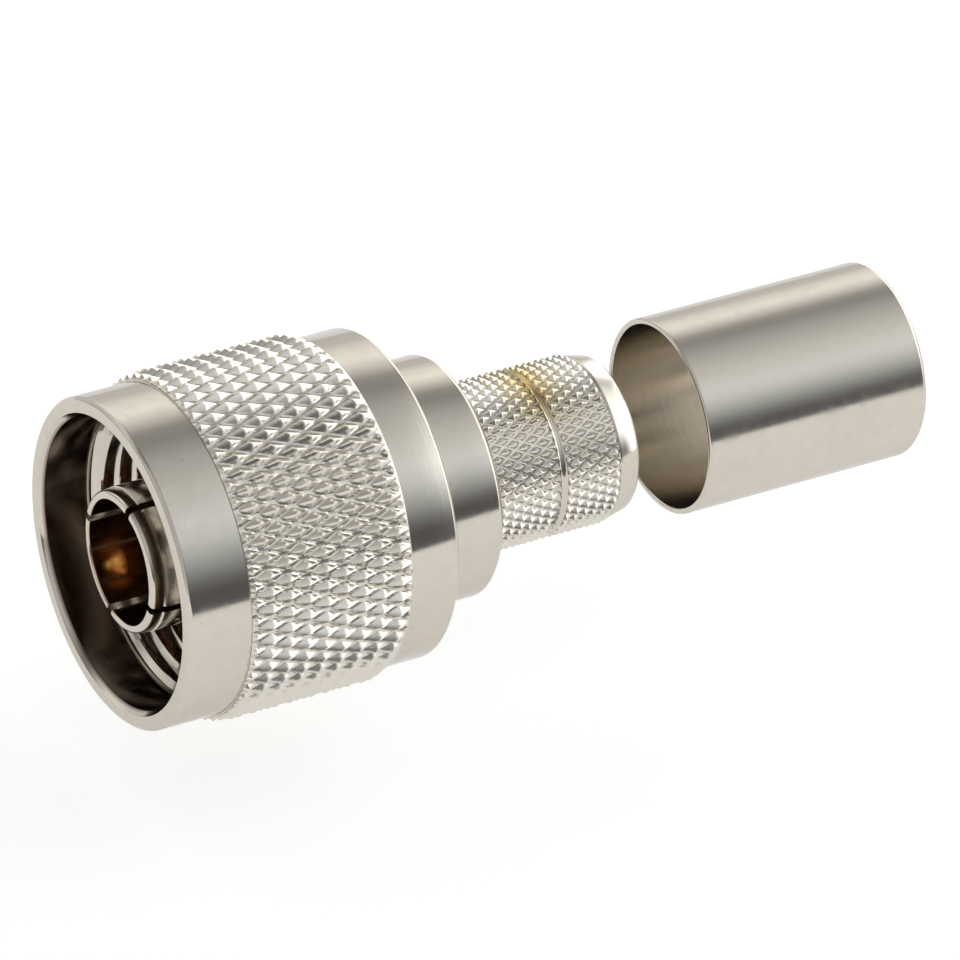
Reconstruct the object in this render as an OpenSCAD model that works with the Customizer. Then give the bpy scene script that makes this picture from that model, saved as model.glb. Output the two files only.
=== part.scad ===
// Cable plug with a screw-on coupling nut, and its crimp ferrule waiting behind the stem.
// The axis of every turned piece is X. X = 0 is the front face of the outer contact,
// -X is the way a jack arrives from, and +X is the way the cable leaves.

/* [Coupling nut] */
// Length of the nut
nut_len = 16.5; // [14:0.1:20]
// How far the nut's front plane stands ahead of the outer contact
nut_lead = 0.55; // [0:0.05:2]
// Diameter of the plain rim at the front
rim_d = 18.6; // [17.5:0.1:21]
// Length of the plain rim
rim_len = 3.7; // [2:0.1:6]
// Diameter over the tips of the knurl
knurl_d = 19.6; // [18:0.1:22]
// Length of the knurled band
knurl_len = 9.8; // [6:0.1:12]
// Length of the bevel behind the knurl
knurl_bevel = 0.35; // [0.1:0.05:1]
// Diameter of the plain band at the back
band_d = 18.6; // [17.5:0.1:21]
// Diameter of the smooth mouth ahead of the thread
mouth_d = 16.3; // [16:0.1:17]
// Depth of the smooth mouth
mouth_len = 2.9; // [1:0.1:5]
// Diameter over the tips of the coupling thread
thread_d = 14.9; // [14.7:0.05:15.1]
// Depth of the thread's last turn from the contact's front face
thread_end = 9.4; // [8:0.1:11]

/* [Connector body] */
// Depth of the face that the gasket sits on
seat_x = 10.3; // [9.5:0.1:12]
// Diameter of the flange that the nut pulls on
flange_d = 14.6; // [14:0.1:14.8]
// Diameter of the plain collar
collar_d = 13.7; // [12:0.1:15]
// Where the collar ends
collar_end = 20.15; // [18:0.05:24]
// Diameter over the knurl of the crimp stem
stem_d = 9.7; // [9:0.1:10.2]
// Where the knurl of the stem ends
stem_knurl_end = 28.65; // [26:0.05:30]
// Where the groove round the stem has its middle
stem_groove_x = 25.1; // [22:0.05:28]
// Width of the groove round the stem
stem_groove_w = 0.5; // [0.2:0.05:1]
// Depth of the groove round the stem
stem_groove_t = 0.3; // [0.1:0.05:0.5]
// Diameter of the plain cone behind the knurl, where it starts
stem_tail_d = 9.4; // [8.8:0.1:10]
// Diameter of that cone where it ends
stem_tip_d = 8.9; // [8.4:0.1:9.6]
// Where the stem ends
stem_end = 30.05; // [28:0.05:34]
// Diameter of the cable's way in
cable_bore_d = 7.5; // [7:0.1:8]

/* [Contacts] */
// Outside diameter of the outer contact
outer_d = 8.1; // [8:0.01:8.15]
// Bore of the outer contact
outer_bore_d = 7.0; // [6.9:0.05:7.1]
// Depth of the small groove behind the contact's nose
nose_len = 0.68; // [0.4:0.02:1.5]
// Number of slots in the outer contact
slot_count = 4; // [2:1:8]
// Width of a slot
slot_w = 0.45; // [0.3:0.05:0.8]
// Length of a slot
slot_len = 6.4; // [4:0.1:8]
// How far the first slot is turned from straight up, towards the viewer
slot_turn = 18.5; // [0:0.5:90]
// Diameter of the pin
pin_d = 1.65; // [1.6:0.01:1.68]
// Where the pin's tip is
pin_tip_x = 2.3; // [2:0.05:2.7]
// Where the pin meets its thicker shank
pin_shoulder_x = 5.33; // [5.2:0.01:5.4]
// Diameter of the shank
shank_d = 3.04; // [3:0.01:3.1]
// Diameter of the hole for the cable's inner conductor
conductor_d = 2.75; // [2.6:0.05:3]

/* [Crimp ferrule] */
// Outside diameter of the ferrule
ferrule_d = 11.2; // [10.8:0.1:12.6]
// Bore of the ferrule
ferrule_bore_d = 10.5; // [10.2:0.1:11.4]
// Length of the ferrule
ferrule_len = 14.1; // [10:0.1:20]
// Where the ferrule's front edge waits, off the stem
ferrule_x = 33.85; // [31:0.05:40]

/* [Hidden] */
$fn = 96;
edge = 0.15;
nickel = [0.74, 0.72, 0.68];
gold = [0.83, 0.62, 0.26];
ptfe = [0.95, 0.95, 0.93];
silicone = [0.68, 0.24, 0.13];
bronze = [0.62, 0.50, 0.33];
// Gap between pieces pressed together, and between pieces that turn on each other
press_gap = 0.02;
turn_gap = 0.15;
// How far a cutter runs past the metal that it cuts
past = 1;
// The retaining ring fills a slot that is half in the body and half in the nut
ring_x = 12.0;
ring_w = 1.0;
ring_t = 0.9;
ring_bore_d = 12.9;
ring_d = 15.6;
ring_split = 3;
nut_front = -nut_lead;
nut_back = nut_front + nut_len;
knurl_front = nut_front + rim_len;
knurl_back = knurl_front + knurl_len;
thread_start = nut_front + mouth_len;
thread_lead_in = 0.4;
thread_relief = 0.6;
// The hub carries the outer contact through the gasket and presses it into the body
hub_x = 8.6;
hub_d = 9.0;
hub_back = 14.0;
press_d = 10.0;
insulator_x = 10.9;
insulator_d = 8.6;
insulator_back = 18.5;
gasket_t = 1.5;
gasket_bore_d = 9.8;
gasket_edge = 0.25;
captive_d = 4.6;
captive_x = hub_back + press_gap;
captive_len = 1.0;
socket_d = 4.0;
socket_depth = 5.0;

// A piece turned about the X axis, from its half section: a closed list of [x, radius].
module turned(section) {
    rotate([0, 90, 0])
        rotate_extrude()
            polygon([for (p = section) [p[1], p[0]]]);
}

// Knurled nut. From the mouth in: smooth bore, thread, its relief, the bore that guides the flange,
// the slot for the retaining ring, and the back wall that the collar passes through.
module coupling_nut() {
    rim_r = rim_d / 2;
    knurl_r = knurl_d / 2;
    band_r = band_d / 2;
    mouth_r = mouth_d / 2;
    thread_r = thread_d / 2;
    relief_r = thread_r + thread_relief;
    slot_r = ring_d / 2 + turn_gap;
    slot_back = ring_x + ring_w + turn_gap / 2;
    back_bore_r = collar_d / 2 + turn_gap;
    color(nickel)
        turned([
            [nut_front, mouth_r + edge],
            [nut_front, rim_r - edge],
            [nut_front + edge, rim_r],
            [knurl_front, rim_r],
            [knurl_front + edge, knurl_r],
            [knurl_back - knurl_bevel, knurl_r],
            [knurl_back, band_r],
            [nut_back - edge, band_r],
            [nut_back, band_r - edge],
            [nut_back, back_bore_r + edge],
            [nut_back - edge, back_bore_r],
            [slot_back, back_bore_r],
            [slot_back, slot_r],
            [ring_x - turn_gap / 2, slot_r],
            [ring_x - turn_gap / 2, thread_r],
            [thread_end + thread_relief, thread_r],
            [thread_end + thread_relief, relief_r],
            [thread_end, relief_r],
            [thread_end, thread_r],
            [thread_start + thread_lead_in, thread_r],
            [thread_start, mouth_r],
            [nut_front + edge, mouth_r]
        ]);
}

// Body: flange with the gasket's seat, ring groove, collar, and knurled stem that the braid is crimped on.
module connector_body() {
    flange_r = flange_d / 2;
    groove_r = ring_bore_d / 2 - press_gap;
    collar_r = collar_d / 2;
    stem_r = stem_d / 2;
    tail_r = stem_tail_d / 2;
    tip_r = stem_tip_d / 2;
    press_r = press_d / 2 + press_gap;
    cable_r = cable_bore_d / 2;
    groove_front = stem_groove_x - stem_groove_w / 2;
    groove_back = stem_groove_x + stem_groove_w / 2;
    color(nickel)
        turned([
            [seat_x, press_r],
            [seat_x, flange_r - edge],
            [seat_x + edge, flange_r],
            [ring_x, flange_r],
            [ring_x, groove_r],
            [ring_x + ring_w, groove_r],
            [ring_x + ring_w, collar_r],
            [collar_end - 2 * edge, collar_r],
            [collar_end, collar_r - 2 * edge],
            [collar_end, stem_r],
            [groove_front, stem_r],
            [groove_front, stem_r - stem_groove_t],
            [groove_back, stem_r - stem_groove_t],
            [groove_back, stem_r],
            [stem_knurl_end - edge, stem_r],
            [stem_knurl_end, tail_r],
            [stem_end - edge, tip_r],
            [stem_end, tip_r - edge],
            [stem_end, cable_r + edge],
            [stem_end - edge, cable_r],
            [insulator_back, cable_r],
            [insulator_back, press_r]
        ]);
}

// Slotted spring tube that the jack's sleeve slides over, with the hub that is pressed into the body.
module outer_contact() {
    outer_r = outer_d / 2;
    bore_r = outer_bore_d / 2;
    hub_r = hub_d / 2;
    press_r = press_d / 2;
    seat_r = insulator_d / 2 + press_gap;
    nose_bevel = 0.2;
    line_w = 0.1;
    line_t = 0.06;
    color(nickel)
        difference() {
            turned([
                [0, bore_r],
                [0, outer_r - nose_bevel],
                [edge, outer_r],
                [nose_len, outer_r],
                [nose_len, outer_r - line_t],
                [nose_len + line_w, outer_r - line_t],
                [nose_len + line_w, outer_r],
                [hub_x, outer_r],
                [hub_x + edge, hub_r],
                [seat_x + edge, hub_r],
                [seat_x + edge, press_r],
                [hub_back, press_r],
                [hub_back, seat_r],
                [insulator_x, seat_r],
                [insulator_x, bore_r]
            ]);
            for (i = [0 : slot_count - 1])
                rotate([slot_turn + i * 360 / slot_count, 0, 0])
                    translate([-past, -slot_w / 2, 0])
                        cube([slot_len + past, slot_w, outer_d]);
        }
}

// Gold plated pin, its shank, the shoulder held between the insulators, and the socket for the conductor.
module centre_contact() {
    pin_r = pin_d / 2;
    shank_r = shank_d / 2;
    captive_r = captive_d / 2 - press_gap;
    socket_r = socket_d / 2;
    socket_back = insulator_back - edge;
    hole_r = conductor_d / 2;
    tip_len = 0.7;
    tip_r = 0.28;
    color(gold)
        turned([
            [pin_tip_x, 0],
            [pin_tip_x, tip_r],
            [pin_tip_x + tip_len, pin_r],
            [pin_shoulder_x, pin_r],
            [pin_shoulder_x, shank_r - edge],
            [pin_shoulder_x + edge, shank_r],
            [captive_x + press_gap, shank_r],
            [captive_x + press_gap, captive_r],
            [captive_x + captive_len - press_gap, captive_r],
            [captive_x + captive_len - press_gap, socket_r],
            [socket_back - edge, socket_r],
            [socket_back, socket_r - edge],
            [socket_back, hole_r + edge],
            [socket_back - edge, hole_r],
            [socket_back - socket_depth, hole_r],
            [socket_back - socket_depth - hole_r / 2, 0]
        ]);
}

// Bead that centres the shank in the hub of the outer contact.
module front_insulator() {
    bead_r = insulator_d / 2;
    shank_r = shank_d / 2 + press_gap;
    front = insulator_x + press_gap;
    back = hub_back;
    color(ptfe)
        turned([[front, shank_r], [front, bead_r], [back, bead_r], [back, shank_r]]);
}

// Bead behind it, with a counterbore that traps the contact's shoulder.
module rear_insulator() {
    bead_r = press_d / 2;
    shoulder_r = captive_d / 2;
    socket_r = socket_d / 2 + press_gap;
    back = insulator_back - press_gap;
    color(ptfe)
        turned([
            [captive_x, shoulder_r],
            [captive_x, bead_r],
            [back, bead_r],
            [back, socket_r],
            [captive_x + captive_len, socket_r],
            [captive_x + captive_len, shoulder_r]
        ]);
}

// Split ring that keeps the nut on the body.
module retaining_ring() {
    front = ring_x + (ring_w - ring_t) / 2;
    bore_r = ring_bore_d / 2;
    ring_r = ring_d / 2;
    color(bronze)
        difference() {
            turned([
                [front, bore_r],
                [front, ring_r],
                [front + ring_t, ring_r],
                [front + ring_t, bore_r]
            ]);
            translate([front - past, -ring_split / 2, -ring_d])
                cube([ring_t + 2 * past, ring_split, ring_d]);
        }
}

// Rubber washer that the jack's rim seals on.
module sealing_gasket() {
    back = seat_x - press_gap;
    front = back - gasket_t;
    bore_r = gasket_bore_d / 2;
    gasket_r = flange_d / 2 - edge;
    color(silicone)
        turned([
            [front, bore_r + gasket_edge],
            [front, gasket_r - gasket_edge],
            [front + gasket_edge, gasket_r],
            [back, gasket_r],
            [back, bore_r],
            [front + gasket_edge, bore_r]
        ]);
}

// Thin tube that slides over the stem and the braid and is crimped there.
module crimp_ferrule() {
    ferrule_r = ferrule_d / 2;
    bore_r = ferrule_bore_d / 2;
    back = ferrule_x + ferrule_len;
    lip = edge / 2;
    color(nickel)
        turned([
            [ferrule_x, bore_r + lip],
            [ferrule_x, ferrule_r - lip],
            [ferrule_x + lip, ferrule_r],
            [back - edge, ferrule_r],
            [back, ferrule_r - edge],
            [back, bore_r + lip],
            [back - lip, bore_r],
            [ferrule_x + lip, bore_r]
        ]);
}

coupling_nut();
connector_body();
outer_contact();
centre_contact();
front_insulator();
rear_insulator();
retaining_ring();
sealing_gasket();
crimp_ferrule();
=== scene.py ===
"""Cable plug with a screw-on coupling nut, and its crimp ferrule waiting behind the stem.

Every piece is turned about the X axis. X = 0 is the front face of the outer contact, -X is the mating
end and +X the cable end. Sections are written in millimetres and put into the meshes in metres.
"""

import bpy
import numpy as np
from mathutils import Matrix, Vector


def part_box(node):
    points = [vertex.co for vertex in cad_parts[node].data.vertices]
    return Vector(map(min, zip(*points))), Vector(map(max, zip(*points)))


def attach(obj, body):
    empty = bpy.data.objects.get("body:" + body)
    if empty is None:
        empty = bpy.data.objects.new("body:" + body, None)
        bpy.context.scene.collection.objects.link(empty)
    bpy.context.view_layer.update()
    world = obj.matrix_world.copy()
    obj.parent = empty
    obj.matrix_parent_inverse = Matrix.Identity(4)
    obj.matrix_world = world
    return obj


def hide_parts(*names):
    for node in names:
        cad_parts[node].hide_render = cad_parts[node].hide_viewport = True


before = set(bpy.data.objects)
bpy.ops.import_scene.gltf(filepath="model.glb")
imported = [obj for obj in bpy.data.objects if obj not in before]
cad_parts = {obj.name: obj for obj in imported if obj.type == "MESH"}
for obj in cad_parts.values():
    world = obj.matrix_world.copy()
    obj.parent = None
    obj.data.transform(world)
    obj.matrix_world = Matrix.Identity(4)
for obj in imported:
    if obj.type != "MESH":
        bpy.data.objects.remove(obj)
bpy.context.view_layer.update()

MM = 0.001
FULL_TURN = 2 * np.pi


# ---------------------------------------------------------------- sections and surfaces


def span(node):
    """Front end, back end and radius of a turned CAD node, in millimetres."""
    low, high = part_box(node)
    return low.x / MM, high.x / MM, (high.z - low.z) / 2 / MM


def softened(corners, cut, steps=4):
    """Closed half section with its corners rounded.

    Each corner C becomes the curve (1-t)^2 A + 2t(1-t) C + t^2 B, where A lies on the side before the
    corner and B on the side after it, both `cut` away or 0.45 of that side where the side is short.
    """
    corner = np.array(corners, float)
    before = np.roll(corner, 1, 0) - corner
    after = np.roll(corner, -1, 0) - corner
    to_before = np.hypot(*before.T)
    to_after = np.hypot(*after.T)
    start = corner + before / to_before[:, None] * np.minimum(cut, 0.45 * to_before)[:, None]
    end = corner + after / to_after[:, None] * np.minimum(cut, 0.45 * to_after)[:, None]
    t = np.linspace(0, 1, steps)[None, :, None]
    curve = (1 - t) ** 2 * start[:, None] + 2 * t * (1 - t) * corner[:, None] + t ** 2 * end[:, None]
    return curve.reshape(-1, 2)


def mesh_from(name, points, faces, attributes=None, crease=32.0):
    """Mesh object of triangles, facing outwards, smooth except where faces meet at more than `crease`.

    The faces are turned round if the volume they enclose, a sixth of the sum of a . (b x c) over the
    triangles a, b, c, comes out negative.
    """
    a, b, c = (points[faces[:, i]] for i in range(3))
    if np.einsum("ij,ij->", a, np.cross(b, c)) < 0:
        faces = faces[:, ::-1]
    mesh = bpy.data.meshes.new(name)
    mesh.vertices.add(len(points))
    mesh.vertices.foreach_set("co", (points * MM).astype(np.float32).ravel())
    mesh.loops.add(faces.size)
    mesh.loops.foreach_set("vertex_index", faces.astype(np.int32).ravel())
    mesh.polygons.add(len(faces))
    mesh.polygons.foreach_set("loop_start", np.arange(0, faces.size, 3, dtype=np.int32))
    mesh.update(calc_edges=True)
    for label, values in (attributes or {}).items():
        layer = mesh.attributes.new(label, "FLOAT", "POINT")
        layer.data.foreach_set("value", values.astype(np.float32).ravel())
    mesh.validate()
    mesh.shade_smooth()
    mesh.set_sharp_from_angle(angle=np.radians(crease))
    piece = bpy.data.objects.new(name, mesh)
    bpy.context.scene.collection.objects.link(piece)
    normals = piece.modifiers.new("face_weighted_normals", "WEIGHTED_NORMAL")
    normals.keep_sharp = True
    normals.weight = 80
    return piece


def grid_faces(rows, columns, radius, keep=None):
    """Triangles of a grid that closes on itself both ways. `radius` is (rows, columns).

    Every quad is cut along the diagonal whose two ends differ least in radius, so creases stay crisp.
    """
    index = np.arange(rows * columns).reshape(rows, columns)
    p00 = index
    p10 = np.roll(index, -1, 0)
    p01 = np.roll(index, -1, 1)
    p11 = np.roll(p10, -1, 1)
    flat = radius.ravel()
    straight = np.abs(flat[p00] - flat[p11]) <= np.abs(flat[p01] - flat[p10])
    first = np.where(straight[..., None], np.stack([p00, p10, p11], -1), np.stack([p00, p10, p01], -1))
    second = np.where(straight[..., None], np.stack([p00, p11, p01], -1), np.stack([p10, p11, p01], -1))
    both = np.stack([first, second], 2)
    if keep is not None:
        both = both[keep]
    return both.reshape(-1, 3)


def round_points(x, radius, angle):
    """Points at x along the axis and `radius` from it; angle 0 is up and grows towards -Y."""
    return np.stack([x, -radius * np.sin(angle), radius * np.cos(angle)], -1).reshape(-1, 3)


def turned(name, section, columns):
    """Ring-shaped piece: its closed half section carried once round the axis."""
    x = np.repeat(section[:, :1], columns, 1)
    radius = np.repeat(section[:, 1:], columns, 1)
    angle = np.broadcast_to(np.arange(columns) * FULL_TURN / columns, x.shape)
    faces = grid_faces(len(section), columns, radius)
    return mesh_from(name, round_points(x, radius, angle), faces)


def turned_solid(name, section, columns):
    """Piece with material on the axis: an open half section, whose two ends lie on the axis, carried
    round it. Each end is one point that a fan of triangles closes on."""
    middle = section[1:-1]
    rows = len(middle)
    x = np.repeat(middle[:, :1], columns, 1)
    radius = np.repeat(middle[:, 1:], columns, 1)
    angle = np.broadcast_to(np.arange(columns) * FULL_TURN / columns, x.shape)
    keep = np.ones((rows, columns), bool)
    keep[-1] = False
    skin = grid_faces(rows, columns, radius, keep)
    ring = np.arange(columns)
    front, back = rows * columns, rows * columns + 1
    last = ring + (rows - 1) * columns
    fans = [
        np.stack([np.full(columns, front), ring, np.roll(ring, -1)], -1),
        np.stack([np.full(columns, back), np.roll(last, -1), last], -1),
    ]
    ends = [[section[0, 0], 0, 0], [section[-1, 0], 0, 0]]
    points = np.concatenate([round_points(x, radius, angle), ends])
    return mesh_from(name, points, np.concatenate([skin, *fans]))


# How far the ridges between a knurl's facets are worn round, as a share of its pitch
ROUNDING = 0.3


def saw(phase):
    """0 where the phase is whole, rising evenly to 1 half way between."""
    return 1 - np.abs(2 * (phase % 1) - 1)


def diamond_knurl(x, angle, count, lead, floor, land):
    """Height of a crossed knurl from 0 in the grooves to 1 on the tips.

    Two families of V grooves lean opposite ways: one lies where count * turns + x / lead is whole, the
    other where count * turns - x / lead is. The height is the lower of the two distances to a groove,
    0 over the share `floor` of the way and 1 over the share `land`. Where the two distances differ by
    less than ROUNDING, the lower one is eased by (ROUNDING - difference)^2 / (4 ROUNDING), so that the
    ridges between the facets are worn round.
    """
    turns = angle / FULL_TURN
    one = saw(count * turns + x / lead)
    other = saw(count * turns - x / lead)
    eased = np.maximum(ROUNDING - np.abs(one - other), 0) ** 2 / (4 * ROUNDING)
    return np.clip((np.minimum(one, other) - eased - floor) / (1 - floor - land), 0, 1)


def knurl_rows(start, end, lead, parts):
    """Positions along the axis whose spacing fits the crossings of the knurl, with both ends kept."""
    pitch = lead / (2 * parts)
    inner = start + pitch * np.arange(1, int((end - start) / pitch + 0.999))
    inner = inner[inner < end - 0.2 * pitch]
    return np.concatenate([[start], inner, [end]])


# ---------------------------------------------------------------- coupling nut

nut_front, nut_back, nut_radius = span("coupling_nut")
RIM_RADIUS = 9.3
RIM_BEVEL = 0.22
MOUTH_BEVEL = 0.28
TAIL_BEVEL = 0.2
RIM_BACK = nut_front + 3.7
KNURL_BACK = RIM_BACK + 9.8
KNURL_DEPTH = 0.4
KNURL_FLOOR = 0.12
KNURL_LAND = 0.12
KNURL_COUNT = 62
KNURL_LEAD = 2.24
KNURL_PARTS = 5
KNURL_STEP = 0.04
KNURL_FRONT_SLOPE = 1.1
KNURL_BACK_SLOPE = 0.9
MOUTH_RADIUS = 8.15
THREAD_START = nut_front + 2.9
THREAD_END = 9.4
THREAD_TIP = 7.45
THREAD_ROOT = 8.0
THREAD_PITCH = 25.4 / 24
THREAD_ROWS_A_TURN = 8
THREAD_CREST_SHARE = 0.14
THREAD_FLANK_SHARE = 0.62
RING_SLOT_FRONT = 11.93
RING_SLOT_BACK = 13.08
RING_SLOT_RADIUS = 7.95
TAIL_BORE = 7.0


def section_rows(corners, cut, columns, steps=3):
    """Rows of plain points for a stretch of section: the ends stay sharp, the corners between are cut."""
    corners = np.array(corners, float)
    rounded = softened(corners, cut, steps)[steps:-steps]
    line = np.concatenate([corners[:1], rounded, corners[-1:]])
    return np.repeat(line[:, :1], columns, 1), np.repeat(line[:, 1:], columns, 1)


def knurled_nut():
    """Coupling nut. Rows run back along the outside and forward through the bore.

    Outside, the knurl stands on the groove radius by its height, under a bevel at each end. Inside, the
    thread's radius is the tip radius plus the groove depth times a trapezium wave of
    (x / pitch - turns), and the lead-in is a cone that no thread reaches past.
    """
    columns = KNURL_COUNT * 2 * KNURL_PARTS
    angle = np.arange(columns) * FULL_TURN / columns
    outer = section_rows(
        [
            (nut_front, MOUTH_RADIUS + MOUTH_BEVEL),
            (nut_front, RIM_RADIUS - RIM_BEVEL),
            (nut_front + RIM_BEVEL, RIM_RADIUS),
            (RIM_BACK, RIM_RADIUS),
            (RIM_BACK, nut_radius - KNURL_DEPTH),
        ],
        0.07, columns, 4,
    )
    x = knurl_rows(RIM_BACK, KNURL_BACK, KNURL_LEAD, KNURL_PARTS)[:, None]
    height = diamond_knurl(x - RIM_BACK, angle[None, :], KNURL_COUNT, KNURL_LEAD, KNURL_FLOOR, KNURL_LAND)
    valley = nut_radius - KNURL_DEPTH
    crest = np.minimum(
        nut_radius,
        np.minimum(
            valley + KNURL_STEP + (x - RIM_BACK) * KNURL_FRONT_SLOPE,
            RIM_RADIUS + 0.06 + (KNURL_BACK - x) * KNURL_BACK_SLOPE,
        ),
    )
    knurl_radius = np.minimum(valley + KNURL_DEPTH * height, crest)
    knurl_x = np.repeat(x, columns, 1)
    rear = section_rows(
        [
            (KNURL_BACK, RIM_RADIUS + 0.03),
            (KNURL_BACK + 0.03, RIM_RADIUS),
            (nut_back - TAIL_BEVEL, RIM_RADIUS),
            (nut_back, RIM_RADIUS - TAIL_BEVEL),
            (nut_back, TAIL_BORE + 0.15),
            (nut_back - 0.15, TAIL_BORE),
            (RING_SLOT_BACK, TAIL_BORE),
            (RING_SLOT_BACK, RING_SLOT_RADIUS),
            (RING_SLOT_FRONT, RING_SLOT_RADIUS),
            (RING_SLOT_FRONT, THREAD_TIP),
            (THREAD_END + 0.6, THREAD_TIP),
            (THREAD_END + 0.55, THREAD_ROOT + 0.05),
            (THREAD_END, THREAD_ROOT + 0.05),
        ],
        0.05, columns, 3,
    )
    thread_x = np.arange(THREAD_END, THREAD_START, -THREAD_PITCH / THREAD_ROWS_A_TURN)[1:, None]
    wave = saw(thread_x / THREAD_PITCH - angle[None, :] / FULL_TURN)
    trapezium = np.clip((wave - THREAD_CREST_SHARE) / THREAD_FLANK_SHARE, 0, 1)
    cone = MOUTH_RADIUS - (thread_x - THREAD_START)
    thread_radius = np.maximum(THREAD_TIP + (THREAD_ROOT - THREAD_TIP) * trapezium, cone)
    thread_radius = np.minimum(thread_radius, MOUTH_RADIUS)
    mouth = section_rows(
        [
            (THREAD_START, THREAD_ROOT - 0.1),
            (THREAD_START, MOUTH_RADIUS),
            (nut_front + MOUTH_BEVEL, MOUTH_RADIUS),
            (nut_front + 0.02, MOUTH_RADIUS + 0.27),
        ],
        0.05, columns, 3,
    )
    rows_x = np.concatenate([outer[0], knurl_x, rear[0], np.repeat(thread_x, columns, 1), mouth[0]])
    radius = np.concatenate([outer[1], knurl_radius, rear[1], thread_radius, mouth[1]])
    relief = np.full(radius.shape, 0.5)
    cut = np.zeros(radius.shape)
    knurl = slice(len(outer[0]), len(outer[0]) + len(x))
    relief[knurl] = height
    cut[knurl] = 1
    faces = grid_faces(len(rows_x), columns, radius)
    points = round_points(rows_x, radius, np.broadcast_to(angle, radius.shape))
    return mesh_from("knurled_nut", points, faces, {"relief": relief, "knurl": cut}, 24.0)


# ---------------------------------------------------------------- connector body

body_front, body_back, flange_radius = span("connector_body")
RING_GROOVE_RADIUS = 6.43
RING_GROOVE_FRONT = 12.0
RING_GROOVE_BACK = 13.0
COLLAR_BEVEL = 0.3
COLLAR_RADIUS = 6.85
COLLAR_BACK = 20.15
STEM_RADIUS = 4.85
STEM_KNURL_BACK = 28.65
STEM_GROOVE = (24.85, 25.35)
STEM_GROOVE_DEPTH = 0.3
STEM_TAIL_RADIUS = 4.7
STEM_TIP_RADIUS = 4.45
STEM_KNURL_DEPTH = 0.24
STEM_FLOOR = 0.17
STEM_LAND = 0.12
STEM_COUNT = 46
STEM_LEAD = 1.18
STEM_PARTS = 5
STEM_RUN_OUT_SLOPE = 1.1
PRESS_BORE = 5.02
CABLE_BORE = 3.75
PRESS_BORE_BACK = 18.5


def knurled_body():
    """Body: flange, collar and knurled stem, as rows that run back along the outside and forward
    through the bore. The stem's knurl stands on its groove radius as the nut's does, is cut by a hollow
    groove, and runs out in a slope before the plain cone of the tail."""
    columns = STEM_COUNT * 2 * STEM_PARTS
    angle = np.arange(columns) * FULL_TURN / columns
    valley = STEM_RADIUS - STEM_KNURL_DEPTH
    front = section_rows(
        [
            (body_front, PRESS_BORE),
            (body_front, flange_radius - 0.15),
            (body_front + 0.15, flange_radius),
            (RING_GROOVE_FRONT, flange_radius),
            (RING_GROOVE_FRONT, RING_GROOVE_RADIUS),
            (RING_GROOVE_BACK, RING_GROOVE_RADIUS),
            (RING_GROOVE_BACK, COLLAR_RADIUS),
            (COLLAR_BACK - COLLAR_BEVEL, COLLAR_RADIUS),
            (COLLAR_BACK, COLLAR_RADIUS - COLLAR_BEVEL),
            (COLLAR_BACK, valley),
        ],
        0.08, columns, 4,
    )

    def stretch(start, end):
        x = knurl_rows(start, end, STEM_LEAD, STEM_PARTS)[:, None]
        turned_by = angle[None, :]
        height = diamond_knurl(x - COLLAR_BACK, turned_by, STEM_COUNT, STEM_LEAD, STEM_FLOOR, STEM_LAND)
        ramp = valley + (STEM_KNURL_BACK + KNURL_STEP - x) * STEM_RUN_OUT_SLOPE
        radius = np.minimum(valley + STEM_KNURL_DEPTH * height, np.maximum(ramp, valley))
        return np.repeat(x, columns, 1), radius, height

    first = stretch(COLLAR_BACK, STEM_GROOVE[0])
    second = stretch(STEM_GROOVE[1], STEM_KNURL_BACK)
    groove_radius = STEM_RADIUS - STEM_GROOVE_DEPTH
    middle = (STEM_GROOVE[0] + STEM_GROOVE[1]) / 2
    groove = section_rows(
        [
            (STEM_GROOVE[0] + 0.01, groove_radius + 0.13),
            (middle - 0.15, groove_radius + 0.03),
            (middle, groove_radius),
            (middle + 0.15, groove_radius + 0.03),
            (STEM_GROOVE[1] - 0.01, groove_radius + 0.13),
        ],
        0.08, columns, 3,
    )
    tail = section_rows(
        [
            (STEM_KNURL_BACK + 0.02, valley),
            (STEM_KNURL_BACK + 0.1, STEM_TAIL_RADIUS),
            (body_back - 0.15, STEM_TIP_RADIUS),
            (body_back, STEM_TIP_RADIUS - 0.15),
            (body_back, CABLE_BORE + 0.15),
            (body_back - 0.15, CABLE_BORE),
            (PRESS_BORE_BACK, CABLE_BORE),
            (PRESS_BORE_BACK, PRESS_BORE),
            (body_front + 0.05, PRESS_BORE),
        ],
        0.06, columns, 4,
    )
    parts = [front, first[:2], groove, second[:2], tail]
    rows_x = np.concatenate([p[0] for p in parts])
    radius = np.concatenate([p[1] for p in parts])
    relief = [np.full(p[1].shape, 0.5) for p in parts]
    relief[1], relief[3] = first[2], second[2]
    cut = [np.full(p[1].shape, float(i in (1, 3))) for i, p in enumerate(parts)]
    attributes = {"relief": np.concatenate(relief), "knurl": np.concatenate(cut)}
    faces = grid_faces(len(rows_x), columns, radius)
    points = round_points(rows_x, radius, np.broadcast_to(angle, radius.shape))
    return mesh_from("knurled_body", points, faces, attributes, 24.0)


# ---------------------------------------------------------------- contacts

contact_back = span("outer_contact")[1]
CONTACT_RADIUS = 4.05
CONTACT_BORE = 3.5
NOSE_LINE = 0.68
HUB_START = 8.6
HUB_RADIUS = 4.5
PRESSED_START = 10.45
PRESSED_RADIUS = 5.0
BEAD_SEAT = 10.9
BEAD_SEAT_RADIUS = 4.32
SLOT_COUNT = 4
SLOT_WIDTH = 0.45
SLOT_END = 6.4
SLOT_TURN = np.radians(18.5)
FINGER_COLUMNS = 60
SLOT_COLUMNS = 3


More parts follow.
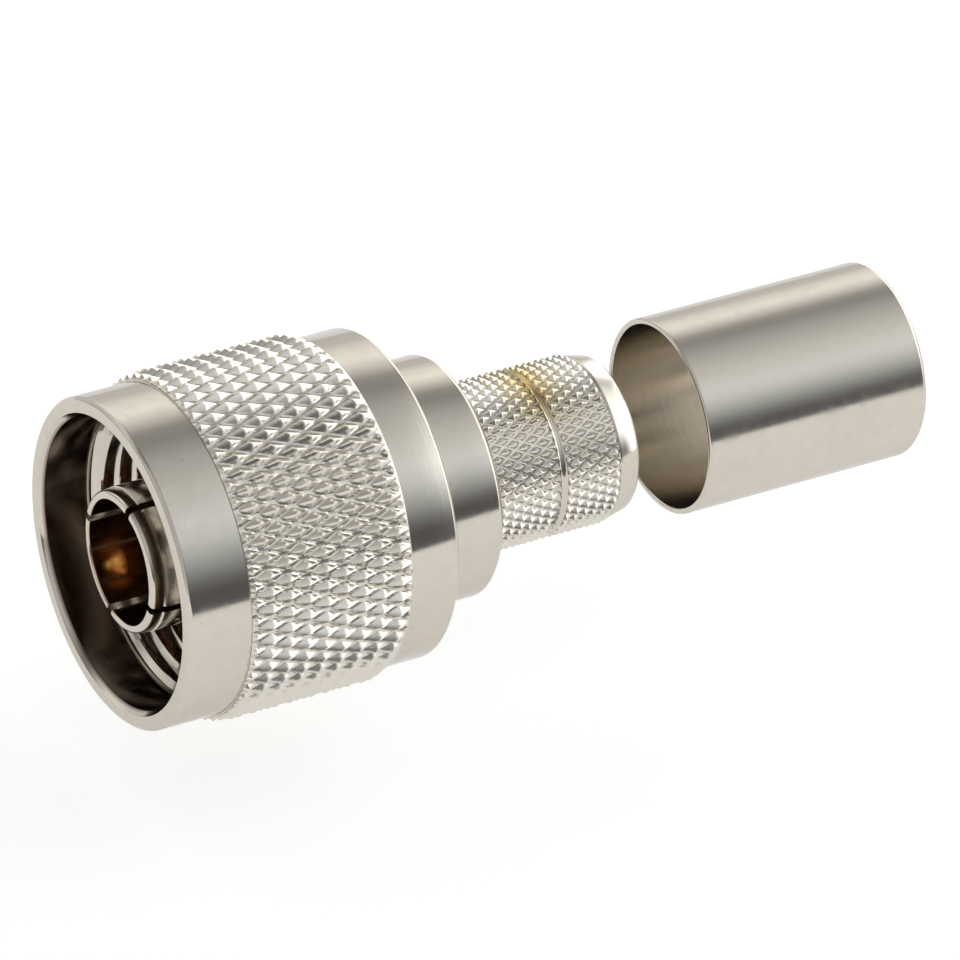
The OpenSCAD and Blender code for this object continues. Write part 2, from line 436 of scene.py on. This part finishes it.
def slotted_contact():
    """Spring tube with its slots, and the hub behind it.

    The section has the same positions along the axis outside and inside as far as the slots go. Columns
    at a slot's edges lie where the half width over the radius is the sine of their angle from the
    slot's middle, so the slot's sides are parallel. Quads inside the slots are left out, and the gap
    is closed by its two sides and its end.
    """
    # The rounded nose, then the small groove behind it, as x with the radii outside and in the bore
    nose = [0, 0.02, 0.06, 0.13, 0.2]
    nose_groove = [NOSE_LINE + step for step in (-0.03, 0, 0.05, 0.1, 0.13)]
    along = np.array(nose + nose_groove + [2.2, 3.4, 4.6, 5.6, SLOT_END])
    outside = np.interp(
        along,
        nose + nose_groove,
        [3.82, 3.86, 3.92, 3.97, 3.99, 4.02, 3.96, 3.94, 3.98, CONTACT_RADIUS],
    )
    bore = CONTACT_BORE + np.interp(along, nose[:4], [0.05, 0.03, 0.01, 0])
    slotted = len(along)
    behind = softened(
        [
            (HUB_START, CONTACT_RADIUS),
            (HUB_START + 0.15, HUB_RADIUS),
            (PRESSED_START, HUB_RADIUS),
            (PRESSED_START, PRESSED_RADIUS),
            (contact_back, PRESSED_RADIUS),
            (contact_back, BEAD_SEAT_RADIUS),
            (BEAD_SEAT, BEAD_SEAT_RADIUS),
            (BEAD_SEAT, CONTACT_BORE),
        ],
        0.04, 3,
    )
    x_line = np.concatenate([along, behind[:, 0], along[::-1]])
    r_line = np.concatenate([outside, behind[:, 1], bore[::-1]])
    per_part = FINGER_COLUMNS + SLOT_COLUMNS
    columns = SLOT_COUNT * per_part
    half = np.arcsin(SLOT_WIDTH / 2 / r_line)[:, None]
    share_slot = (np.arange(SLOT_COLUMNS) / SLOT_COLUMNS)[None, :]
    share_finger = (np.arange(FINGER_COLUMNS) / FINGER_COLUMNS)[None, :]
    part_turn = FULL_TURN / SLOT_COUNT
    in_slot = -half + 2 * half * share_slot
    in_finger = half + (part_turn - 2 * half) * share_finger
    one = np.concatenate([in_slot, in_finger], 1) + SLOT_TURN
    angle = np.concatenate([one + part_turn * i for i in range(SLOT_COUNT)], 1)
    rows = len(x_line)
    x = np.repeat(x_line[:, None], columns, 1)
    radius = np.repeat(r_line[:, None], columns, 1)
    row = np.arange(rows)
    open_row = (row < slotted - 1) | (row >= rows - slotted)
    open_column = np.arange(columns) % per_part < SLOT_COLUMNS
    keep = ~(open_row[:, None] & open_column[None, :])
    skin = grid_faces(rows, columns, radius, keep)
    # Sides between the outside and the bore, row by row, at both edges of every slot
    index = np.arange(rows * columns).reshape(rows, columns)
    out_rows = index[:slotted]
    in_rows = index[rows - slotted:][::-1]
    walls = []
    for edge_column, facing in ((0, 1), (SLOT_COLUMNS, -1)):
        at = np.arange(SLOT_COUNT) * per_part + edge_column
        o, i = out_rows[:, at], in_rows[:, at]
        quads = np.stack([o[:-1], o[1:], i[1:], i[:-1]], -1).reshape(-1, 4)[:, ::facing]
        walls += [quads[:, [0, 1, 2]], quads[:, [0, 2, 3]]]
    at = np.arange(columns)[open_column]
    o, i = out_rows[-1], in_rows[-1]
    nxt = (at + 1) % columns
    end = np.stack([o[at], o[nxt], i[nxt], i[at]], -1)
    walls += [end[:, [0, 1, 2]], end[:, [0, 2, 3]]]
    points = round_points(x, radius, angle)
    return mesh_from("slotted_contact", points, np.concatenate([skin, *walls]), None, 30.0)


pin_front, pin_back = span("centre_contact")[:2]
PIN_RADIUS = 0.825
SHANK_RADIUS = 1.52
SHOULDER_RADIUS = 2.28
SOCKET_RADIUS = 2.0
CONDUCTOR_HOLE_RADIUS = 1.375


def centre_pin():
    """Pin with a rounded tip, its thicker shank, the shoulder and the conductor's blind hole."""
    bend = np.linspace(0, np.pi / 2, 7)
    nose = np.stack([pin_front + 0.3 * (1 - np.cos(bend)), 0.34 * np.sin(bend)], -1)
    line = [
        (pin_front + 0.72, 0.79), (pin_front + 0.82, 0.82), (pin_front + 1.0, PIN_RADIUS),
        (5.1, PIN_RADIUS), (5.3, PIN_RADIUS), (5.33, 0.84), (5.33, 1.3), (5.36, 1.42),
        (5.48, SHANK_RADIUS), (5.7, SHANK_RADIUS), (13.8, SHANK_RADIUS), (14.04, SHANK_RADIUS),
        (14.04, 2.25), (14.07, SHOULDER_RADIUS), (14.97, SHOULDER_RADIUS), (15.0, 2.25),
        (15.0, SOCKET_RADIUS), (15.2, SOCKET_RADIUS), (pin_back - 0.15, SOCKET_RADIUS),
        (pin_back - 0.02, 1.93), (pin_back, 1.87), (pin_back, 1.53), (pin_back - 0.03, 1.46),
        (pin_back - 0.15, CONDUCTOR_HOLE_RADIUS), (13.4, CONDUCTOR_HOLE_RADIUS),
        (13.35, 1.36), (12.68, 0.02), (12.66, 0),
    ]
    return turned_solid("centre_pin", np.concatenate([nose, line]), 96)


# ---------------------------------------------------------------- crimp ferrule

ferrule_front, ferrule_back, ferrule_radius = span("crimp_ferrule")
FERRULE_BORE = 5.25


def ferrule_tube():
    """Thin tube, chamfered lightly at the front and a little more at the back."""
    section = softened(
        [
            (ferrule_front, FERRULE_BORE + 0.08),
            (ferrule_front, ferrule_radius - 0.1),
            (ferrule_front + 0.1, ferrule_radius),
            (ferrule_back - 0.22, ferrule_radius),
            (ferrule_back, ferrule_radius - 0.16),
            (ferrule_back, FERRULE_BORE + 0.08),
            (ferrule_back - 0.08, FERRULE_BORE),
            (ferrule_front + 0.08, FERRULE_BORE),
        ],
        0.05, 4,
    )
    return turned("ferrule_tube", section, 288)


# ---------------------------------------------------------------- finishes


def put(tree, kind, values=None, **settings):
    """Adds one node, with its own settings and the values of its unlinked sockets."""
    made = tree.nodes.new(kind)
    for name, value in settings.items():
        setattr(made, name, value)
    for socket, value in (values or {}).items():
        made.inputs[socket].default_value = value
    return made


def join(tree, output, target):
    """Links an output to an unlinked socket."""
    tree.links.new(output, target)


def math_node(tree, operation, first, second=None, third=None, clamp=False):
    """Math node on numbers or outputs; returns its output."""
    made = put(tree, "ShaderNodeMath", operation=operation, use_clamp=clamp)
    for socket, value in zip(made.inputs, (first, second, third)):
        if isinstance(value, (int, float)):
            socket.default_value = value
        elif value is not None:
            join(tree, value, socket)
    return made.outputs[0]


def effect(name, inputs, outputs):
    """Empty shader node group with named number inputs and outputs."""
    tree = bpy.data.node_groups.new(name, "ShaderNodeTree")
    for label, value in inputs.items():
        tree.interface.new_socket(label, in_out="INPUT", socket_type="NodeSocketFloat").default_value = value
    for label in outputs:
        tree.interface.new_socket(label, in_out="OUTPUT", socket_type="NodeSocketFloat")
    return tree, put(tree, "NodeGroupInput"), put(tree, "NodeGroupOutput")


def millimetres(tree):
    """Object coordinates in millimetres, as a vector output."""
    place = put(tree, "ShaderNodeTexCoord")
    scaled = put(tree, "ShaderNodeVectorMath", operation="SCALE")
    scaled.inputs["Scale"].default_value = 1 / MM
    join(tree, place.outputs["Object"], scaled.inputs[0])
    return scaled.outputs[0]


def turning_lines():
    """Fine rings that the lathe tool leaves: noise that changes only along the axis, at two spacings."""
    tree, given, result = effect("turning_lines", {"Lines per mm": 9.0}, ["Height", "Shade"])
    axis = put(tree, "ShaderNodeSeparateXYZ")
    join(tree, millimetres(tree), axis.inputs[0])
    fine = put(tree, "ShaderNodeTexNoise", {"Detail": 3.0, "Roughness": 0.65}, noise_dimensions="1D")
    join(tree, axis.outputs["X"], fine.inputs["W"])
    join(tree, given.outputs["Lines per mm"], fine.inputs["Scale"])
    broad = put(tree, "ShaderNodeTexNoise", {"Scale": 1.7, "Detail": 2.0}, noise_dimensions="1D")
    join(tree, axis.outputs["X"], broad.inputs["W"])
    both = math_node(tree, "MULTIPLY_ADD", broad.outputs[0], 0.5, fine.outputs[0])
    join(tree, both, result.inputs["Height"])
    shade = math_node(tree, "MULTIPLY_ADD", both, 0.9, -0.2, clamp=True)
    join(tree, shade, result.inputs["Shade"])
    return tree


def smudges():
    """Cloudy unevenness of plating and handling: two sizes of noise multiplied together."""
    tree, given, result = effect("smudges", {"Size mm": 3.0}, ["Mask"])
    place = millimetres(tree)
    shrunk = math_node(tree, "DIVIDE", 1.0, given.outputs["Size mm"])
    large = put(tree, "ShaderNodeTexNoise", {"Detail": 4.0, "Roughness": 0.6})
    join(tree, place, large.inputs["Vector"])
    join(tree, shrunk, large.inputs["Scale"])
    small = put(tree, "ShaderNodeTexNoise", {"Detail": 3.0, "Roughness": 0.7})
    join(tree, place, small.inputs["Vector"])
    join(tree, math_node(tree, "MULTIPLY", shrunk, 5.3), small.inputs["Scale"])
    product = math_node(tree, "MULTIPLY", large.outputs[0], small.outputs[0])
    join(tree, math_node(tree, "MULTIPLY_ADD", product, 4.0, -0.55, clamp=True), result.inputs["Mask"])
    return tree


def specks():
    """Tiny pits and dust: a dot round the middle of a random share of the cells of a cell pattern."""
    tree, given, result = effect("specks", {"Per mm": 1.4, "Radius": 0.07, "Share": 0.35}, ["Mask"])
    cells = put(tree, "ShaderNodeTexVoronoi", {"Randomness": 1.0})
    join(tree, millimetres(tree), cells.inputs["Vector"])
    join(tree, given.outputs["Per mm"], cells.inputs["Scale"])
    near = math_node(tree, "LESS_THAN", cells.outputs["Distance"], given.outputs["Radius"])
    pick = put(tree, "ShaderNodeSeparateColor")
    join(tree, cells.outputs["Color"], pick.inputs[0])
    chosen = math_node(tree, "LESS_THAN", pick.outputs[0], given.outputs["Share"])
    join(tree, math_node(tree, "MULTIPLY", near, chosen), result.inputs["Mask"])
    return tree


def knurl_wear():
    """Where a knurl is rubbed and where it keeps dirt, from the height stored on the mesh, and the
    torn grain that the knurling wheel leaves, which fades out where the metal is plain."""
    tree, given, result = effect("knurl_wear", {"Grain per mm": 6.0}, ["Tips", "Valleys", "Cut", "Torn"])
    share = put(tree, "ShaderNodeAttribute", attribute_name="knurl", attribute_type="GEOMETRY")
    join(tree, share.outputs["Fac"], result.inputs["Cut"])
    torn = put(tree, "ShaderNodeTexNoise", {"Scale": 5.0, "Detail": 3.0, "Roughness": 0.6})
    join(tree, millimetres(tree), torn.inputs["Vector"])
    join(tree, math_node(tree, "MULTIPLY", torn.outputs[0], share.outputs["Fac"]), result.inputs["Torn"])
    stored = put(tree, "ShaderNodeAttribute", attribute_name="relief", attribute_type="GEOMETRY")
    grain = put(tree, "ShaderNodeTexNoise", {"Detail": 3.0})
    join(tree, millimetres(tree), grain.inputs["Vector"])
    join(tree, given.outputs["Grain per mm"], grain.inputs["Scale"])
    uneven = math_node(tree, "MULTIPLY_ADD", grain.outputs[0], 0.4, -0.2)
    height = math_node(tree, "ADD", stored.outputs["Fac"], uneven)
    join(tree, math_node(tree, "MULTIPLY_ADD", height, 4.0, -2.9, clamp=True), result.inputs["Tips"])
    join(tree, math_node(tree, "MULTIPLY_ADD", height, -4.0, 1.15, clamp=True), result.inputs["Valleys"])
    return tree


def inside_bore():
    """The surface nearer the axis than a radius and ahead of a place along it, fading out at both."""
    tree, given, result = effect("inside_bore", {"Radius mm": 4.0, "Back mm": 3.0}, ["Mask"])
    place = put(tree, "ShaderNodeSeparateXYZ")
    join(tree, millimetres(tree), place.inputs[0])
    across = put(tree, "ShaderNodeCombineXYZ")
    join(tree, place.outputs["Y"], across.inputs["Y"])
    join(tree, place.outputs["Z"], across.inputs["Z"])
    away = put(tree, "ShaderNodeVectorMath", operation="LENGTH")
    join(tree, across.outputs[0], away.inputs[0])
    short_of_wall = math_node(tree, "SUBTRACT", given.outputs["Radius mm"], away.outputs["Value"])
    short_of_back = math_node(tree, "SUBTRACT", given.outputs["Back mm"], place.outputs["X"])
    within = math_node(tree, "MULTIPLY", short_of_wall, 8.0, clamp=True)
    ahead = math_node(tree, "MULTIPLY", short_of_back, 8.0, clamp=True)
    join(tree, math_node(tree, "MULTIPLY", within, ahead), result.inputs["Mask"])
    return tree


EFFECTS = {make.__name__: make() for make in (turning_lines, smudges, specks, knurl_wear, inside_bore)}


def use(tree, effect_name, **values):
    """Places one of the shared effects with this finish's own values."""
    made = put(tree, "ShaderNodeGroup", node_tree=EFFECTS[effect_name])
    for label, value in values.items():
        made.inputs[label.replace("_", " ")].default_value = value
    return made.outputs


def blend_colour(tree, share, first, second):
    """Colour output between two colours or outputs."""
    mix = put(tree, "ShaderNodeMix", data_type="RGBA")
    join(tree, share, mix.inputs["Factor"])
    for socket, value in ((mix.inputs[6], first), (mix.inputs[7], second)):
        if isinstance(value, tuple):
            socket.default_value = (*value, 1)
        else:
            join(tree, value, socket)
    return mix.outputs[2]


def finish_material(name, colour, metallic, roughness):
    """Material with one surface shader; returns the material, its tree and the shader."""
    material = bpy.data.materials.new(name)
    material.use_nodes = True
    tree = material.node_tree
    shader = tree.nodes["Principled BSDF"]
    shader.inputs["Base Color"].default_value = (*colour, 1)
    shader.inputs["Metallic"].default_value = metallic
    shader.inputs["Roughness"].default_value = roughness
    return material, tree, shader


def raised(tree, shader, height, distance):
    """Relief of `distance` metres where the height is 1."""
    bump = put(tree, "ShaderNodeBump", {"Distance": distance})
    join(tree, height, bump.inputs["Height"])
    join(tree, bump.outputs[0], shader.inputs["Normal"])


NICKEL = (0.617, 0.571, 0.503)
NICKEL_DULL = (0.50, 0.46, 0.40)
NICKEL_BRIGHT = (0.74, 0.70, 0.63)
NICKEL_SHEEN = (0.8, 0.79, 0.77)
GRIME = (0.23, 0.19, 0.15)
TARNISH_YELLOW = (0.50, 0.36, 0.13)
# Painted shade of the nut's deep bore, laid into its base colour
BORE_PAINTED_SHADE = (0.20, 0.15, 0.125)
# Painted reflection of the gold pin in the contact's bore, laid into its base colour
BORE_PAINTED_GOLD_REFLECTION = (0.62, 0.33, 0.13)
# Depth of the torn grain on a knurl, in metres
TORN_DEPTH = 0.000012


def tarnished(tree, colour, clouds, middle, half_length):
    """Colour with a yellow patch on the upper side, strongest at `middle` along the axis."""
    place = put(tree, "ShaderNodeSeparateXYZ")
    join(tree, millimetres(tree), place.inputs[0])
    off = math_node(tree, "ABSOLUTE", math_node(tree, "SUBTRACT", place.outputs["X"], middle))
    near = math_node(tree, "SUBTRACT", 1.0, math_node(tree, "DIVIDE", off, half_length), clamp=True)
    up = math_node(tree, "MULTIPLY_ADD", place.outputs["Z"], 0.6, -1.7, clamp=True)
    patchy = math_node(tree, "MULTIPLY_ADD", clouds, 0.8, 0.35, clamp=True)
    share = math_node(tree, "MULTIPLY", math_node(tree, "MULTIPLY", near, up), patchy)
    return blend_colour(tree, share, colour, TARNISH_YELLOW)


def nickel(name, roughness, lines, line_depth, smudge_mm, knurled=False, tarnish=None, bore=None):
    """Nickel plate: turning lines and smudges in colour, roughness and relief, and specks.

    A knurl also has rubbed tips, dirty valleys and torn grain. `tarnish` is the (x, half length) of a
    yellow patch. `bore` lays painted shade, or a painted reflection, into the colour inside a bore:
    (radius, back end, share, painted colour).
    """
    material, tree, shader = finish_material(name, NICKEL, 1.0, roughness)
    shader.inputs["Specular Tint"].default_value = (*NICKEL_SHEEN, 1)
    rings = use(tree, "turning_lines", Lines_per_mm=lines)
    clouds = use(tree, "smudges", Size_mm=smudge_mm)["Mask"]
    dots = use(tree, "specks", Per_mm=1.3, Radius=0.06, Share=0.3)["Mask"]
    colour = blend_colour(tree, math_node(tree, "MULTIPLY", clouds, 0.3), NICKEL, NICKEL_DULL)
    colour = blend_colour(tree, math_node(tree, "MULTIPLY", dots, 0.5), colour, GRIME)
    rough = math_node(tree, "MULTIPLY_ADD", clouds, 0.07, roughness - 0.02)
    rough = math_node(tree, "MULTIPLY_ADD", rings["Shade"], 0.03, rough)
    height = math_node(tree, "MULTIPLY_ADD", dots, -0.6, rings["Height"])
    if knurled:
        worn = use(tree, "knurl_wear", Grain_per_mm=5.0)
        colour = blend_colour(tree, math_node(tree, "MULTIPLY", worn["Cut"], 0.6), colour, NICKEL_BRIGHT)
        colour = blend_colour(tree, math_node(tree, "MULTIPLY", worn["Valleys"], 0.06), colour, GRIME)
        colour = blend_colour(tree, math_node(tree, "MULTIPLY", worn["Tips"], 0.35), colour, NICKEL_BRIGHT)
        rough = math_node(tree, "MULTIPLY_ADD", worn["Cut"], 0.1, rough)
        height = math_node(tree, "MULTIPLY_ADD", worn["Torn"], TORN_DEPTH / line_depth, height)
    if tarnish:
        colour = tarnished(tree, colour, clouds, *tarnish)
    # Inside a bore the base colour is blended towards a painted colour: painted shade in the nut's mouth, a
    # painted reflection of the gold pin in the contact
    if bore:
        radius, back, share, painted_light = bore
        within = use(tree, "inside_bore", Radius_mm=radius, Back_mm=back)["Mask"]
        colour = blend_colour(tree, math_node(tree, "MULTIPLY", within, share), colour, painted_light)
    join(tree, colour, shader.inputs["Base Color"])
    join(tree, rough, shader.inputs["Roughness"])
    raised(tree, shader, height, line_depth)
    return material


def gold():
    """Gold plate of the pin, redder and rougher in clouds, with fine turning lines."""
    material, tree, shader = finish_material("gold_plate", (0.83, 0.55, 0.19), 1.0, 0.16)
    rings = use(tree, "turning_lines", Lines_per_mm=14.0)
    clouds = use(tree, "smudges", Size_mm=1.2)["Mask"]
    colour = blend_colour(tree, clouds, (0.86, 0.57, 0.20), (0.68, 0.41, 0.13))
    join(tree, colour, shader.inputs["Base Color"])
    join(tree, math_node(tree, "MULTIPLY_ADD", clouds, 0.14, 0.12), shader.inputs["Roughness"])
    raised(tree, shader, rings["Height"], 0.000002)
    return material


def waxy_white():
    """White plastic of the beads, waxy, with turning lines."""
    material, tree, shader = finish_material("white_bead", (0.86, 0.86, 0.83), 0.0, 0.45)
    rings = use(tree, "turning_lines", Lines_per_mm=5.0)
    clouds = use(tree, "smudges", Size_mm=2.0)["Mask"]
    colour = blend_colour(tree, clouds, (0.88, 0.88, 0.85), (0.78, 0.77, 0.73))
    join(tree, colour, shader.inputs["Base Color"])
    join(tree, math_node(tree, "MULTIPLY_ADD", clouds, 0.15, 0.38), shader.inputs["Roughness"])
    raised(tree, shader, rings["Height"], 0.00001)
    return material


def washer_rubber():
    """Dark red rubber with a cloudy face and pale dust."""
    material, tree, shader = finish_material("washer_rubber", (0.42, 0.05, 0.02), 0.0, 0.6)
    clouds = use(tree, "smudges", Size_mm=1.5)["Mask"]
    dots = use(tree, "specks", Per_mm=3.0, Radius=0.12, Share=0.4)["Mask"]
    colour = blend_colour(tree, clouds, (0.40, 0.05, 0.025), (0.30, 0.035, 0.02))
    colour = blend_colour(tree, dots, colour, (0.45, 0.30, 0.25))
    join(tree, colour, shader.inputs["Base Color"])
    join(tree, math_node(tree, "MULTIPLY_ADD", clouds, 0.2, 0.5), shader.inputs["Roughness"])
    raised(tree, shader, clouds, 0.00003)
    return material


def spring_bronze():
    """Bare bronze of the split ring, darkened in clouds."""
    material, tree, shader = finish_material("spring_bronze", (0.50, 0.33, 0.17), 1.0, 0.3)
    clouds = use(tree, "smudges", Size_mm=1.0)["Mask"]
    colour = blend_colour(tree, clouds, (0.52, 0.35, 0.18), (0.33, 0.20, 0.10))
    join(tree, colour, shader.inputs["Base Color"])
    join(tree, math_node(tree, "MULTIPLY_ADD", clouds, 0.2, 0.25), shader.inputs["Roughness"])
    raised(tree, shader, clouds, 0.00001)
    return material


# ---------------------------------------------------------------- the pieces, dressed

# The nut's mouth is painted dark brown: painted shade of the unlit depth of the bore
NUT_NICKEL = nickel(
    "nut_nickel", 0.09, 7.0, 0.0000012, 4.0, knurled=True,
    bore=(MOUTH_RADIUS + 0.15, THREAD_START - 0.05, 0.9, BORE_PAINTED_SHADE),
)
BODY_NICKEL = nickel("body_nickel", 0.1, 9.0, 0.0000012, 3.0, knurled=True, tarnish=(25.1, 2.6))
# The contact's bore is painted amber: a painted reflection of the gold pin
CONTACT_NICKEL = nickel(
    "contact_nickel", 0.1, 12.0, 0.000001, 1.5,
    bore=(CONTACT_BORE + 0.08, contact_back, 0.8, BORE_PAINTED_GOLD_REFLECTION),
)
FERRULE_NICKEL = nickel("ferrule_nickel", 0.14, 6.0, 0.000002, 3.5)


def fit(piece, node, body, material):
    """The detailed piece stands for the CAD node and moves with its body."""
    piece.data.materials.append(material)
    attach(piece, body)
    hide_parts(node)


fit(knurled_nut(), "coupling_nut", "nut", NUT_NICKEL)
fit(knurled_body(), "connector_body", "plug", BODY_NICKEL)
fit(slotted_contact(), "outer_contact", "plug", CONTACT_NICKEL)
fit(centre_pin(), "centre_contact", "plug", gold())
fit(ferrule_tube(), "crimp_ferrule", "ferrule", FERRULE_NICKEL)

WAXY_WHITE = waxy_white()
for node_name, material in (
    ("front_insulator", WAXY_WHITE),
    ("rear_insulator", WAXY_WHITE),
    ("sealing_gasket", washer_rubber()),
    ("retaining_ring", spring_bronze()),
):
    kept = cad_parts[node_name]
    kept.data.materials.clear()
    kept.data.materials.append(material)

# ---------------------------------------------------------------- floor, light tent and camera

FLOOR_DROP = 0.0135
FLOOR_FRONT = -0.064
FLOOR_BACK = 0.9
FLOOR_HALF_WIDTH = 0.9
FLOOR_LIFT = 0.62
TENT_RADIUS = 1.1
TENT_HALF_LENGTH = 1.3
TENT_COLUMNS = 96
CAMERA_PLACE = (-0.1932, -0.3785, 0.2342)
CAMERA_FORWARD = (0.4356, 0.7646, -0.4750)
CAMERA_UP = (0.2351, 0.4127, 0.8800)
CAMERA_LENS = 337.5

# Brightness of the tent's strips, by the angle from straight up, positive to the front (-Y)
TENT_STRIPS = [
    (-180, (0.85, 0.85, 0.85)),
    (-106, (0.88, 0.88, 0.88)),
    (-88, (0.80, 0.81, 0.80)),
    (-74, (0.84, 0.84, 0.83)),
    (-62, (1.16, 1.16, 1.12)),
    (-48, (1.34, 1.34, 1.30)),
    (-38, (0.98, 0.97, 0.95)),
    (-26, (0.42, 0.42, 0.42)),
    (-16, (0.36, 0.37, 0.37)),
    (0, (0.57, 0.58, 0.58)),
    (20, (0.76, 0.78, 0.78)),
    (46, (0.96, 1.0, 1.03)),
    (58, (0.84, 0.89, 0.93)),
    (72, (0.52, 0.56, 0.58)),
    (84, (0.24, 0.25, 0.26)),
    (92, (0.13, 0.13, 0.14)),
    (116, (0.13, 0.13, 0.14)),
    (180, (0.85, 0.85, 0.85)),
]
# How the tent's brightness changes along the axis: a dimmer mating end and a bright cable end
TENT_LENGTHWAYS = [(-1.3, 0.7), (-0.6, 0.7), (-0.25, 1.0), (0.76, 1.0), (0.9, 2.6), (1.3, 2.6)]
MATING_END_GLOW = 0.65
CABLE_END_GLOW = 2.2


def plane(name, corners):
    """Flat sheet from its four corners, in metres."""
    mesh = bpy.data.meshes.new(name)
    mesh.from_pydata(corners, [], [(0, 1, 2, 3)])
    piece = bpy.data.objects.new(name, mesh)
    bpy.context.scene.collection.objects.link(piece)
    return piece


def ramp_node(tree, share, stops):
    """Colour output of a ramp through (place, colour) stops."""
    ramp = put(tree, "ShaderNodeValToRGB")
    join(tree, share, ramp.inputs[0])
    elements = ramp.color_ramp.elements
    while len(elements) < len(stops):
        elements.new(0.5)
    for element, (place, colour) in zip(elements, stops):
        element.position = place
        element.color = (*colour, 1)
    return ramp.outputs["Color"]


def glowing(name, strength):
    """Material that only glows; returns it, its tree and its glow."""
    material = bpy.data.materials.new(name)
    material.use_nodes = True
    tree = material.node_tree
    tree.nodes.clear()
    glow = put(tree, "ShaderNodeEmission", {"Strength": strength})
    result = put(tree, "ShaderNodeOutputMaterial")
    join(tree, glow.outputs[0], result.inputs["Surface"])
    return material, tree, glow


def pale_floor():
    """Pale floor that shows white to the camera and in the metal, and keeps the soft shadow."""
    material = bpy.data.materials.new("pale_floor")
    material.use_nodes = True
    tree = material.node_tree
    tree.nodes.clear()
    paper = put(tree, "ShaderNodeBsdfDiffuse", {"Color": (0.5, 0.5, 0.5, 1)})
    path = put(tree, "ShaderNodeLightPath")
    seen = math_node(tree, "MAXIMUM", path.outputs["Is Camera Ray"], path.outputs["Is Glossy Ray"])
    seen = math_node(tree, "MAXIMUM", seen, path.outputs["Is Transmission Ray"])
    lift = put(tree, "ShaderNodeEmission", {"Color": (1, 1, 1, 1)})
    join(tree, math_node(tree, "MULTIPLY", seen, FLOOR_LIFT), lift.inputs["Strength"])
    total = put(tree, "ShaderNodeAddShader")
    join(tree, paper.outputs[0], total.inputs[0])
    join(tree, lift.outputs[0], total.inputs[1])
    result = put(tree, "ShaderNodeOutputMaterial")
    join(tree, total.outputs[0], result.inputs["Surface"])
    floor = plane(
        "floor",
        [
            (-FLOOR_HALF_WIDTH, FLOOR_FRONT, -FLOOR_DROP),
            (FLOOR_HALF_WIDTH, FLOOR_FRONT, -FLOOR_DROP),
            (FLOOR_HALF_WIDTH, FLOOR_BACK, -FLOOR_DROP),
            (-FLOOR_HALF_WIDTH, FLOOR_BACK, -FLOOR_DROP),
        ],
    )
    floor.data.materials.append(material)


def light_tent():
    """Wide tube of glowing cloth round the part's axis, lit in strips. The camera looks through it."""
    angle = np.arange(TENT_COLUMNS) * FULL_TURN / TENT_COLUMNS
    x = np.array([-TENT_HALF_LENGTH, TENT_HALF_LENGTH])
    grid_x, grid_angle = np.meshgrid(x, angle, indexing="ij")
    points = np.stack(
        [grid_x, -TENT_RADIUS * np.sin(grid_angle), TENT_RADIUS * np.cos(grid_angle)], -1
    ).reshape(-1, 3)
    ring = np.arange(TENT_COLUMNS)
    following = np.roll(ring, -1)
    faces = np.stack([ring, following, following + TENT_COLUMNS, ring + TENT_COLUMNS], -1)
    mesh = bpy.data.meshes.new("light_tent")
    mesh.from_pydata(points.tolist(), [], faces.tolist())
    tent = bpy.data.objects.new("light_tent", mesh)
    bpy.context.scene.collection.objects.link(tent)
    tent.visible_camera = False
    material, tree, glow = glowing("tent_cloth", 1.0)
    place = put(tree, "ShaderNodeTexCoord")
    axis = put(tree, "ShaderNodeSeparateXYZ")
    join(tree, place.outputs["Object"], axis.inputs[0])
    forward = math_node(tree, "MULTIPLY", axis.outputs["Y"], -1.0)
    turn = math_node(tree, "ARCTAN2", forward, axis.outputs["Z"])
    share = math_node(tree, "MULTIPLY_ADD", turn, 1 / FULL_TURN, 0.5)
    strips = ramp_node(tree, share, [(degrees / 360 + 0.5, colour) for degrees, colour in TENT_STRIPS])
    along = math_node(tree, "MULTIPLY_ADD", axis.outputs["X"], 0.5 / TENT_HALF_LENGTH, 0.5)
    lengthways = ramp_node(
        tree, along,
        [(place_x / TENT_HALF_LENGTH / 2 + 0.5, (level,) * 3) for place_x, level in TENT_LENGTHWAYS],
    )
    join(tree, strips, glow.inputs["Color"])
    join(tree, lengthways, glow.inputs["Strength"])
    mesh.materials.append(material)
    for label, end, strength in (
        ("mating_end_card", -TENT_HALF_LENGTH, MATING_END_GLOW),
        ("cable_end_card", TENT_HALF_LENGTH, CABLE_END_GLOW),
    ):
        size = TENT_RADIUS
        card = plane(label, [(end, -size, -size), (end, size, -size), (end, size, size), (end, -size, size)])
        card.visible_camera = False
        card.data.materials.append(glowing(label, strength)[0])


def studio_camera():
    """Long lens, at the height and side that the part is looked at from."""
    place = Vector(CAMERA_PLACE)
    forward = Vector(CAMERA_FORWARD).normalized()
    up = Vector(CAMERA_UP)
    right = forward.cross(up).normalized()
    up = right.cross(forward)
    lens = bpy.data.cameras.new("studio_camera")
    lens.sensor_width = 36.0
    lens.lens = CAMERA_LENS
    lens.clip_start = 0.01
    lens.clip_end = 10.0
    camera = bpy.data.objects.new("studio_camera", lens)
    camera.matrix_world = Matrix(
        [
            (right.x, up.x, -forward.x, place.x),
            (right.y, up.y, -forward.y, place.y),
            (right.z, up.z, -forward.z, place.z),
            (0, 0, 0, 1),
        ]
    )
    bpy.context.scene.collection.objects.link(camera)
    bpy.context.scene.camera = camera


def white_surroundings():
    """Even white behind everything."""
    world = bpy.data.worlds.new("white_surroundings")
    world.use_nodes = True
    world.node_tree.nodes["Background"].inputs["Color"].default_value = (1, 1, 1, 1)
    world.node_tree.nodes["Background"].inputs["Strength"].default_value = 1.0
    bpy.context.scene.world = world


pale_floor()
light_tent()
studio_camera()
white_surroundings()
bpy.context.scene.view_settings.view_transform = "Standard"
